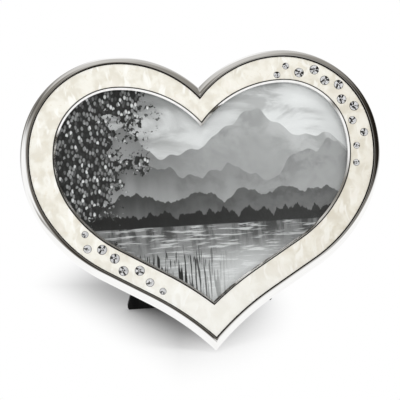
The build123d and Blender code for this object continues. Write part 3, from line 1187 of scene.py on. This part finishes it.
@dataclass(frozen=True)
class Velvet(Finish):
    """Short black velvet pile, with a soft sheen and patches brushed another way."""

    deep: Colour = (0.006, 0.006, 0.0065)
    lit: Colour = (0.028, 0.027, 0.027)
    sheen: Colour = (0.55, 0.55, 0.57)

    def shade(self, sheet: Sheet) -> Socket:
        """Pile with a painted sheen: a lighter tone laid over noise patches where the nap lies another way.

        Args:
            sheet: Node tree to add to.

        Returns:
            The shader.
        """
        nap, lay = sheet.use(pile(), Vector=sheet.place(), Fineness=1.0).outputs
        # Painted sheen: the lit tone follows the nap and lay noise
        share = sheet.times(nap, sheet.span(lay, 0.0, 1.0, 0.6, 1.1))
        return sheet.principled(
            Base_Color=sheet.layer(self.deep, self.lit, share, 0.25, 0.75), Roughness=0.9,
            Specular_IOR_Level=0.1, Sheen_Weight=0.5, Sheen_Roughness=0.35, Sheen_Tint=self.sheen,
            Normal=sheet.bump(nap, 1.2e-4, 0.7),
        )


@dataclass(frozen=True)
class StudioFloor(Finish):
    """White table that keeps the object's shadow near it and runs out to plain white.

    It is plain white past a reach from a middle, and past a slanting line on the left. A painted shadow, a
    darker grey in its colour, lies behind the lower left of the object.
    """

    colour: Colour = (0.81, 0.81, 0.81)
    middle: Point2 = (-0.026, 0.060)
    squeeze: float = 1.7
    near: float = 0.050
    far: float = 0.150
    slant_right: float = 0.915
    slant_back: float = 0.403
    slant_rest: float = 0.0145
    edge: float = -0.005
    fade: float = 0.046
    painted_shadow: Colour = (0.5, 0.5, 0.5)
    painted_shadow_middle: Point2 = (-0.040, 0.088)
    painted_shadow_reach: float = 0.085

    def shade(self, sheet: Sheet) -> Socket:
        """Matte table near the object, and white light to the eye elsewhere.

        Args:
            sheet: Node tree to add to.

        Returns:
            The shader.
        """
        x, y, _ = sheet.split(sheet.place())
        # Painted shadow: the table's colour goes grey near a spot behind the object's lower left
        away = sheet.distance(x, y, self.painted_shadow_middle)
        colour = sheet.layer(self.painted_shadow, self.colour, away, 0.0, self.painted_shadow_reach)
        rest = sheet.times_plus(y, -self.slant_back, -self.slant_rest)
        left = sheet.span(sheet.times_plus(x, -self.slant_right, rest), self.edge, self.fade)
        beyond = sheet.span(sheet.distance(x, y, self.middle, self.squeeze), self.near, self.far)
        share = sheet.times(sheet.rays("Camera", "Transmission"), sheet.math("MAXIMUM", beyond, left))
        matte = sheet.fill(sheet.add("ShaderNodeBsdfDiffuse"), Color=colour).outputs[0]
        white = sheet.fill(sheet.add("ShaderNodeEmission"), Color=WHITE).outputs[0]
        return sheet.either(share, matte, white)


class Finishes:
    """All finishes of the frame, each built once and found by its slot or its use."""

    def __init__(self) -> None:
        """Builds every finish."""
        made = (
            PlatedMetal(Slot.CASTING, (0.955, 0.952, 0.94), 0.03, 0.11, 2e-6),
            PlatedMetal(Extra.BACK_PLATE, (0.70, 0.69, 0.67), 0.22, 0.45, 2e-5, 0.9),
            PlatedMetal(Slot.STEEL, (0.62, 0.60, 0.56), 0.16, 0.34, 6e-6, 0.4, 0.8),
            PlatedMetal(Slot.RIVET, (0.66, 0.645, 0.61), 0.2, 0.42, 8e-6, 0.8),
            PlatedMetal(Slot.SCREW, (0.64, 0.63, 0.60), 0.12, 0.3, 5e-6, 0.5),
            # Black for painted shade and painted dark reflections
            PaintedShadeBlack(Extra.GROOVE),
            PearlEnamel(Slot.PEARL),
            CutCrystal(Slot.CRYSTAL),
            CrystalFoil(Extra.FOIL),
            PaneGlass(Slot.GLASS),
            PrintedPaper(Slot.PAPER),
            PressedBoard(Slot.CARD, (0.42, 0.40, 0.36), (0.26, 0.25, 0.22)),
            PressedBoard(Slot.BOARD, (0.20, 0.115, 0.06), (0.10, 0.055, 0.03)),
            Velvet(Slot.VELVET),
        )
        self.built = {finish.use: finish.build() for finish in made}

    def __getitem__(self, key: Slot | Extra) -> Material:
        """Gives the finish of a slot or a use."""
        return self.built[key]


# Sub-assemblies


@dataclass
class Assembly:
    """A sub-assembly, which takes its finishes from the shared ones."""

    finishes: Finishes

    def settle(self, piece: Object, body: Body, slot: Slot, *nodes: str) -> Object:
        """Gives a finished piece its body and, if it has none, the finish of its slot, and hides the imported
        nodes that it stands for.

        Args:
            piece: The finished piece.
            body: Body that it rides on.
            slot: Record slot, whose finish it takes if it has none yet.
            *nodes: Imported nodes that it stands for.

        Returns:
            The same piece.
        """
        if not piece.data.materials:
            piece.data.materials.append(self.finishes[slot])
        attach(piece, body.value)
        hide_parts(*nodes)
        LOG.info("%s: %d faces, rides on %s", piece.name, len(piece.data.polygons), body.value)
        return piece

    def carry(self, node: str, name: str, body: Body, slot: Slot, edge: float, segments: int = 2) -> Object:
        """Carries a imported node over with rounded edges, and settles it in the node's place.

        Args:
            node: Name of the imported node.
            name: Name of the new piece.
            body: Body that it rides on.
            slot: Record slot of its finish.
            edge: Width of its rounded edges.
            segments: Steps of the rounding.

        Returns:
            The new piece.
        """
        piece = Bench.copy_node(node, name)
        Bench.ease(piece, edge, segments)
        return self.settle(piece, body, slot, node)


@dataclass
class CastFrame(Assembly):
    """The plated casting: rounded rim, web under the pearl band, bevelled lip and stepped pockets."""

    sweeper: Sweeper = Sweeper()
    rim_width: float = 0.0052
    crest_height: float = 0.0008
    crest_inset: float = 0.0006
    back_round: float = 0.0003
    lip_width: float = 0.0016
    lip_height: float = 0.00045
    lip_inset: float = 0.00062
    lip_bevel_drop: float = 0.00105
    middle: Point2 = (0.0, -0.03)
    # Share of an edge's height, from the pearl up, painted black as a dark reflection
    foot_share: float = 0.97
    back_level: float = -0.0082
    recess_level: float = -0.0010
    glass_level: float = -0.0024
    card_level: float = -0.0054
    pane_ledge: float = 0.0029
    board_ledge: float = 0.0080
    web_reach: float = 0.0140
    web_lead: float = 15.0
    seam: float = 0.00001
    facing: float = 0.99
    backward: float = -0.9
    upright: float = 0.05

    def rim_section(self) -> list[Point2]:
        """Section of the rim with the web behind the pearl band, ready to be cut by the pockets.

        Returns:
            Points of distance outside the line and level above the pearl face.
        """
        corner = (self.rim_width - self.back_round, self.back_level + self.back_round)
        span, rise = self.rim_width - self.crest_inset, self.crest_height - self.back_level
        lift = math.degrees(math.asin(self.back_round / rise))
        return [
            *oval(corner, self.back_round, self.back_round, -90.0, 0.0, 4),
            *oval((self.crest_inset, self.back_level), span, rise, lift, 90.0, 30)[1:],
            *oval((self.crest_inset, 0.0), self.crest_inset, self.crest_height, 90.0, 180.0, 8)[1:],
            (0.0, self.recess_level),
            (-self.web_reach, self.recess_level),
            (-self.web_reach, self.back_level),
        ]

    def lip_section(self) -> list[Point2]:
        """Section of the lip: rounded to the pearl, bevelled to the picture, with its wall to the glass.

        Returns:
            Points of distance outside the line and level above the pearl face.
        """
        return [
            *oval((-self.lip_inset, 0.0), self.lip_inset, self.lip_height, 0.0, 90.0, 8),
            (-self.lip_width, self.lip_height - self.lip_bevel_drop),
            (-self.lip_width, self.glass_level + self.seam),
            (0.0, self.glass_level + self.seam),
        ]

    def pocket_steps(self) -> list[Point2]:
        """Steps of the plug that cuts the opening, the pane pocket and the board pocket.

        Returns:
            Points of distance outside the line and level above the pearl face.
        """
        return [
            (-self.lip_width / 2, -self.recess_level),
            (-self.lip_width / 2, self.glass_level),
            (self.pane_ledge, self.glass_level),
            (self.pane_ledge, self.card_level),
            (self.board_ledge, self.card_level),
            (self.board_ledge, self.back_level + self.recess_level),
        ]

    def build(self) -> None:
        """Makes the casting."""
        overrun = self.sweeper.line.overrun
        body = self.sweeper.sweep("cast_frame", self.rim_section(), Family.OUTER, True, self.web_lead)
        plug = self.sweeper.sweep("pocket_plug", self.pocket_steps(), Family.OPENING, False, overrun)
        Bench.edit(plug)
        bpy.ops.mesh.fill_holes(sides=0)
        Bench.outward()
        Bench.combine(body, plug, "DIFFERENCE")
        lip = self.sweeper.sweep("cast_lip", self.lip_section(), Family.OPENING, True, overrun)
        for piece, facing, crest in ((body, -1, self.crest_height), (lip, 1, self.lip_height)):
            for key in (Slot.CASTING, Extra.GROOVE, Extra.BACK_PLATE):
                piece.data.materials.append(self.finishes[key])
            # Painted dark reflection: the foot of each edge beside the pearl is painted black
            self._paint_dark_foot(piece, facing, crest)
        Bench.combine(body, lip, "UNION")
        Bench.tidy(body, 10.0 * Bench.MERGE)
        self._dress(body)
        Bench.place(body, FrontPlane().matrix())
        Bench.edit(body)
        bpy.ops.mesh.bisect(
            plane_co=(0, 0, 0), plane_no=(0, 0, 1), clear_inner=True, use_fill=True, threshold=Bench.MERGE
        )
        Bench.done()
        Bench.smooth(body)
        self.settle(body, Body.FRAME, Slot.CASTING, "frame_casting")

    def _paint_dark_foot(self, piece: Object, facing: int, crest: float) -> None:
        """Paints black the rounded foot of a metal edge where it meets the pearl, as a painted dark
        reflection.

        Args:
            piece: The rim or the lip, in the front's plane.
            facing: 1 where the foot faces out of the heart, -1 where it faces in.
            crest: Height of the edge above the pearl.
        """
        middle = Vector(self.middle)
        for face in piece.data.polygons:
            aside = (face.center.xy - middle).dot(face.normal.xy)
            if facing * aside > 0.0 and 0.0 < face.center.z < self.foot_share * crest:
                face.material_index = 1

    def _dress(self, body: Object) -> None:
        """Paints the groove beside the pearl black as painted shade, and makes satin what faces back.

        Args:
            body: The casting, in the front's plane.
        """
        for face in body.data.polygons:
            level, rise = face.center.z, face.normal.z
            in_groove = self.recess_level - self.seam < level < -self.seam
            # Painted shade: the groove's floor and walls are painted black
            if in_groove and (rise > self.facing or abs(rise) < self.upright):
                face.material_index = 1
            elif level < self.glass_level - self.seam and rise < self.backward:
                face.material_index = 2


@dataclass
class PearlBand(Assembly):
    """The pearl enamel band with its softened edges and crystal seats."""

    edge_round: float = 0.00004

    def build(self) -> None:
        """Makes the band."""
        self.carry("pearl_inlay", "pearl_band", Body.FRAME, Slot.PEARL, self.edge_round)


@dataclass(frozen=True)
class StoneCut:
    """Facets of a stone as shares of its diameter, of its radius (rings) and of its depth (lower rise)."""

    crown: float = 0.17
    star_height: float = 0.105
    girdle: float = 0.03
    table: float = 0.53
    star: float = 0.76
    shoulder: float = 0.95
    lower: float = 0.40
    point: float = 0.04
    lower_rise: float = 0.28
    inner: float = 0.6
    # Shares of pavilion facets, inside and outside the inner ring, painted black as dark reflections
    painted_dark_inside: float = 0.55
    painted_dark_outside: float = 0.22
    sides: int = 8
    flat: float = 1.0


@dataclass
class CrystalTrail(Assembly):
    """A trail of foiled stones set in drilled seats of the pearl band."""

    name: str
    side: Side
    places: dict[str, list[Point2]]
    line: HeartLine = HeartLine()
    cut: StoneCut = StoneCut()
    girdle_level: float = 0.0001
    foot_level: float = -0.00098
    first_turn: float = 17.0
    next_turn: float = 31.0

    def build(self) -> None:
        """Makes all stones of the trail, which stand for one node for each size."""
        for size, places in self.places.items():
            model = self._stone(f"{self.name}_{size}_model", DIAMETERS[size])
            for number, (along, across) in enumerate(places):
                point, out = self.line.place(along)
                centre = point - out * across * self.line.band_width
                spot = Matrix.Translation((self.side.value * centre.x, centre.y, 0.0))
                turn = Matrix.Rotation(math.radians(self.first_turn + self.next_turn * number), 4, "Z")
                stone = Bench.copy_mesh(model, f"{self.name}_{size}_{number + 1}")
                Bench.place(stone, FrontPlane().matrix() @ spot @ turn)
                self.settle(stone, Body.FRAME, Slot.CRYSTAL, f"{self.name}_crystals_{size}")
            bpy.data.objects.remove(model)

    def _stone(self, name: str, diameter: float) -> Object:
        """Cuts one stone as the hull of its rings of corners.

        Args:
            name: Name of the model.
            diameter: Diameter of its girdle.

        Returns:
            The stone about the origin, with glass above the girdle, a black band at the girdle as painted
            shade, and foil below it with some facets black as painted dark reflections.
        """
        cut, top = self.cut, self.girdle_level
        half, step, many = diameter / 2, math.pi / cut.sides, 2 * cut.sides
        under = top - cut.girdle * diameter
        low = self.foot_level + cut.lower_rise * (under - self.foot_level)
        rings = [
            (cut.sides, cut.table, top + cut.crown * diameter, step),
            (cut.sides, cut.star, top + cut.star_height * diameter, 0.0),
            (many, cut.shoulder, top, step),
            (many, 1.0, under, step),
            (cut.sides, cut.lower, low, 0.0),
            (cut.sides, cut.point, self.foot_level, step),
        ]
        stone = Bench.start(name)
        for sides, share, level, turn in rings:
            bpy.ops.mesh.primitive_circle_add(
                vertices=sides, radius=share * half, location=(0, 0, level), rotation=(0, 0, turn)
            )
        Bench.whole()
        bpy.ops.mesh.convex_hull()
        Bench.flatten(cut.flat)
        Bench.outward()
        for key in (Slot.CRYSTAL, Extra.FOIL, Extra.GROOVE):
            stone.data.materials.append(self.finishes[key])
        draw = random.Random(name)
        for face in stone.data.polygons:
            if face.center.z > under:
                # Above the girdle's foot: glass on the crown, and the band at the girdle painted black as
                # painted shade
                face.material_index = 0 if face.center.z > top else 2
            else:
                # Painted dark reflections: foil facets drawn at random are painted black
                within = face.center.xy.length < cut.inner * half
                dark = cut.painted_dark_inside if within else cut.painted_dark_outside
                face.material_index = 2 if draw.random() < dark else 1
        return stone


@dataclass(frozen=True)
class FlatSheet:
    """One sheet in the pane pocket: its node, its faces' levels and the width of its broken edge."""

    node: str
    name: str
    slot: Slot
    front: float
    back: float
    edge: float


@dataclass
class Glazing(Assembly):
    """Glass pane, print and card in the pane pocket."""

    air: float = 0.00003
    sheets: tuple[FlatSheet, ...] = (
        FlatSheet("glass_pane", "cut_glass_pane", Slot.GLASS, -0.0024, -0.0044, 0.00015),
        FlatSheet("print_insert", "picture_print", Slot.PAPER, -0.0044, -0.00465, 0.00003),
        FlatSheet("backing_card", "pulp_card", Slot.CARD, -0.00465, -0.0054, 0.00015),
    )

    def build(self) -> None:
        """Makes the three sheets, each with its own cut edge and a little air before the next."""
        for sheet in self.sheets:
            piece = Bench.copy_node(sheet.node, sheet.name)
            thinning = 1.0 - 2 * self.air / (sheet.front - sheet.back)
            middle = FrontPlane().matrix() @ Matrix.Translation((0.0, 0.0, (sheet.front + sheet.back) / 2))
            for move in (middle.inverted(), Matrix.Diagonal((1.0, 1.0, thinning, 1.0)), middle):
                Bench.place(piece, move)
            Bench.bevel(piece, sheet.edge, 1)
            Bench.pick(piece)
            bpy.ops.object.shade_flat()
            self.settle(piece, Body.FRAME, sheet.slot, sheet.node)


@dataclass
class BackPanel(Assembly):
    """Hardboard panel with velvet on its back face."""

    board_round: float = 0.0003
    cloth_round: float = 0.00018

    def build(self) -> None:
        """Makes the board and its velvet with a soft edge."""
        self.carry("back_board", "hardboard_back", Body.FRAME, Slot.BOARD, self.board_round)
        cloth = self.carry("back_velvet", "back_velvet_cloth", Body.FRAME, Slot.VELVET, self.cloth_round, 3)


@dataclass
class Hardware(Assembly):
    """Pressed and turned metal at the back: hinge, rivets, turn buttons, washers and screws."""

    press_round: float = 0.00018
    rivet_round: float = 0.00005

    def build(self) -> None:
        """Makes every piece of hardware with broken edges."""
        self.carry("hinge_plate", "pressed_hinge_plate", Body.FRAME, Slot.STEEL, self.press_round)
        self.carry("hinge_pin", "headed_hinge_pin", Body.FRAME, Slot.STEEL, self.press_round)
        self.carry("hinge_plate_rivets", "plate_rivets", Body.FRAME, Slot.RIVET, self.rivet_round)
        self.carry("hinge_leaf", "pressed_hinge_leaf", Body.LEG, Slot.STEEL, self.press_round)
        self.carry("hinge_leaf_rivets", "leaf_rivets", Body.LEG, Slot.RIVET, self.rivet_round)
        self.carry("button_washers", "spring_washers", Body.FRAME, Slot.SCREW, self.rivet_round)
        self.carry("button_screws", "shoulder_screws", Body.FRAME, Slot.SCREW, self.rivet_round)
        for body in (Body.UPPER_RIGHT, Body.UPPER_LEFT, Body.LOWER_RIGHT, Body.LOWER_LEFT):
            corner = body.name.lower()
            self.carry(f"turn_button_{corner}", f"button_{corner}", body, Slot.STEEL, self.press_round)


@dataclass
class EaselLeg(Assembly):
    """Easel leg: hardboard in a sleeve of black velvet."""

    board_round: float = 0.0002
    wrap_round: float = 0.0007

    def build(self) -> None:
        """Makes the board and its velvet sleeve."""
        self.carry("leg_board", "hardboard_leg", Body.LEG, Slot.BOARD, self.board_round)
        sleeve = self.carry("leg_velvet", "leg_velvet_sleeve", Body.LEG, Slot.VELVET, self.wrap_round, 4)


# Studio


@dataclass(frozen=True)
class Window:
    """A patch of the studio as metal sees it, in degrees of bearing from the front and of height.

    The grey goes from 0 (black) to 1 (white), and soft is half the width of the fade at its edges.
    """

    west: float
    east: float
    low: float
    high: float
    grey: float
    soft: float = 10.0

    @property
    def colour(self) -> Colour:
        """The grey with a little warmth, which white and black don't have."""
        return (self.grey**0.96, self.grey, self.grey**1.07)

    def share(self, sheet: Sheet, bearing: Socket, height: Socket) -> Socket:
        """1 within the window and 0 outside it, with soft edges.

        Args:
            sheet: Node tree to add to.
            bearing: Bearing in degrees.
            height: Height in degrees.

        Returns:
            The mask.
        """
        shares = [
            sheet.times(
                sheet.span(value, low - self.soft, low + self.soft),
                sheet.span(value, high - self.soft, high + self.soft, 1.0, 0.0),
            )
            for value, low, high in ((bearing, self.west, self.east), (height, self.low, self.high))
        ]
        return sheet.times(*shares)


@dataclass(frozen=True)
class Lamp:
    """A soft lamp that metal doesn't mirror."""

    name: str
    place: Point3
    size: float
    power: float


@dataclass
class Studio:
    """Floor, lamps, surroundings and camera."""

    table_front: float = -1.2
    table_reach: float = 3.0
    table_level: float = -2e-5
    lens: float = 99.0
    aim: Point3 = (-0.003920, -0.010058, -0.027635)
    distance: float = 0.60957
    bearing: float = -6.05
    height: float = 13.80
    roll: float = -1.91
    room: Colour = (0.78, 0.78, 0.78)
    streak: Colour = (0.6, 0.58, 0.55)
    dark: Colour = (0.02, 0.02, 0.02)
    lit_point: Point3 = (0.0, 0.0, 0.07)
    lamps: tuple[Lamp, ...] = (
        Lamp("front", (-0.05, -1.19, 0.63), 0.5, 3.6),
        Lamp("key", (0.214, -0.458, 1.32), 0.4, 3.4),
    )
    pane_view: Window = Window(-25.0, 38.0, 8.0, 48.0, 0.0, 6.0)

    def build(self) -> None:
        """Makes the whole studio."""
        self._floor()
        self._lamps()
        self._surroundings()
        self._camera()
        bpy.context.scene.view_settings.view_transform = "Standard"

    def _floor(self) -> None:
        """White table top that ends not far in front of the object."""
        Bench.clear()
        middle = (self.table_front + self.table_reach) / 2
        bpy.ops.mesh.primitive_plane_add(size=2.0, location=(0.0, middle, self.table_level))
        floor = bpy.context.object
        floor.name = "studio_table"
        floor.scale = (self.table_reach, (self.table_reach - self.table_front) / 2, 1.0)
        bpy.ops.object.transform_apply(location=True, rotation=True, scale=True)
        floor.data.materials.append(StudioFloor(Extra.FLOOR).build())
        floor.visible_glossy = False

    def _lamps(self) -> None:
        """Soft lamps aimed at the object, which metal doesn't mirror."""
        for lamp in self.lamps:
            bpy.ops.object.light_add(type="AREA", location=lamp.place)
            light = bpy.context.object
            light.name = f"studio_{lamp.name}"
            light.data.shape = "DISK"
            light.data.size = lamp.size
            light.data.energy = lamp.power
            aim = Vector(self.lit_point) - Vector(lamp.place)
            light.rotation_euler = aim.to_track_quat("-Z", "Y").to_euler()
            light.visible_glossy = False
            light.visible_transmission = False

    def _surroundings(self) -> None:
        """White to the camera, windows of light and dark to metal, and a speckle to glass and stones."""
        world = bpy.data.worlds.new("studio_room")
        bpy.context.scene.world = world
        world.use_nodes = True
        world.node_tree.nodes.clear()
        sheet = Sheet(world.node_tree)
        way = sheet.add("ShaderNodeTexCoord").outputs["Generated"]
        x, y, z = sheet.split(way)
        bearing = sheet.math("DEGREES", sheet.math("ARCTAN2", x, sheet.times(y, -1.0)))
        height = sheet.math("DEGREES", sheet.math("ARCSINE", z))
        seen: object = WHITE
        for window in self.windows():
            seen = sheet.mix(window.share(sheet, bearing, height), seen, window.colour)
        streaks = sheet.noise(way, 9.0, 3.0, 0.6, 0.5)
        seen = sheet.layer(seen, sheet.mix(1.0, seen, self.streak, "MULTIPLY"), streaks, 0.42, 0.72, 0.2)
        boxes = sheet.span(sheet.noise(way, 2.6, 2.0, 0.6, 0.6), 0.49, 0.53)
        pane = self.pane_view.share(sheet, bearing, height)
        sparkle = sheet.mix(sheet.times(boxes, sheet.minus(1.0, pane)), self.dark, WHITE)
        colour = sheet.mix(sheet.rays("Glossy"), self.room, seen)
        colour = sheet.mix(sheet.rays("Transmission"), colour, sparkle)
        colour = sheet.mix(sheet.rays("Camera"), colour, WHITE)
        light = sheet.fill(sheet.add("ShaderNodeBackground"), Color=colour)
        sheet.fill(sheet.add("ShaderNodeOutputWorld"), Surface=light.outputs[0])

    @staticmethod
    def windows() -> list[Window]:
        """What metal sees, later entries over earlier ones.

        Returns:
            The windows, from the lowest layer to the topmost.
        """
        overhead = Window(-400, 400, 40, 110, 0.57)
        left_side = [
            Window(-170, -75, 5, 85, 0.63, 5),
            Window(-135, -55, 10, 40, 0.07),
            Window(-110, -30, -35, 70, 0.22),
        ]
        right_side = [
            Window(20, 135, 5, 75, 0.28),
            Window(30, 170, -20, 45, 0.27),
            Window(20, 95, 10, 45, 0.03),
            Window(85, 130, -25, 30, 0.03),
            Window(155, 165, 0, 45, 0.75),
        ]
        in_front = [
            Window(-45, 15, -15, 50, 0.12),
            Window(-35, -5, -15, 10, 0.02),
            Window(-45, -20, -20, -10, 0.05, 5),
        ]
        low_white = [
            Window(-130, -60, -20, 25, 1),
            Window(-10, 165, -90, -10, 1, 5),
            Window(-400, 400, -120, -30, 1, 5),
        ]
        touches = [
            Window(-175, -145, -10, 15, 0.12),
            Window(-90, -60, 30, 35, 0.8),
            Window(-155, -110, 15, 30, 0.07),
            Window(-60, -40, 15, 25, 0.65, 5),
            Window(60, 145, -5, 25, 0.01, 5),
        ]
        return [overhead, *left_side, *right_side, *in_front, *low_white, *touches]

    def _camera(self) -> None:
        """Camera at the photograph's view."""
        data = bpy.data.cameras.new("studio_camera")
        camera = bpy.data.objects.new("studio_camera", data)
        bpy.context.scene.collection.objects.link(camera)
        data.lens = self.lens
        data.clip_start = 0.01
        data.clip_end = 20.0
        bearing, height = math.radians(self.bearing), math.radians(self.height)
        level = Vector((math.sin(bearing), -math.cos(bearing), 0.0))
        back = level * math.cos(height) + Vector((0.0, 0.0, math.sin(height)))
        look = (-back).to_track_quat("-Z", "Y") @ Quaternion((0.0, 0.0, 1.0), math.radians(self.roll))
        camera.rotation_mode = "QUATERNION"
        camera.rotation_quaternion = look
        camera.location = FrontPlane().origin() + Vector(self.aim) + back * self.distance
        bpy.context.scene.camera = camera


DIAMETERS = {"large": 0.0053, "medium": 0.0045, "small": 0.0037}
UPPER_PLACES = {
    "large": [(0.236, 0.64), (0.268, 0.31), (0.300, 0.52), (0.331, 0.29), (0.360, 0.64), (0.389, 0.34)],
    "medium": [(0.418, 0.68), (0.451, 0.32)],
    "small": [(0.181, 0.80), (0.203, 0.42), (0.479, 0.73), (0.520, 0.73)],
}
LOWER_PLACES = {
    "large": [(0.720, 0.69), (0.753, 0.63), (0.779, 0.33), (0.807, 0.65)],
    "medium": [(0.694, 0.36), (0.835, 0.40)],
    "small": [(0.670, 0.76), (0.865, 0.32)],
}


def main() -> None:
    """Builds the studio and then every sub-assembly in order."""
    logging.basicConfig(level=logging.INFO, format="%(message)s")
    Studio().build()
    finishes = Finishes()
    CastFrame(finishes).build()
    PearlBand(finishes).build()
    CrystalTrail(finishes, "upper", Side.RIGHT, UPPER_PLACES).build()
    CrystalTrail(finishes, "lower", Side.LEFT, LOWER_PLACES).build()
    Glazing(finishes).build()
    BackPanel(finishes).build()
    Hardware(finishes).build()
    EaselLeg(finishes).build()


if __name__ == "__main__":
    main()
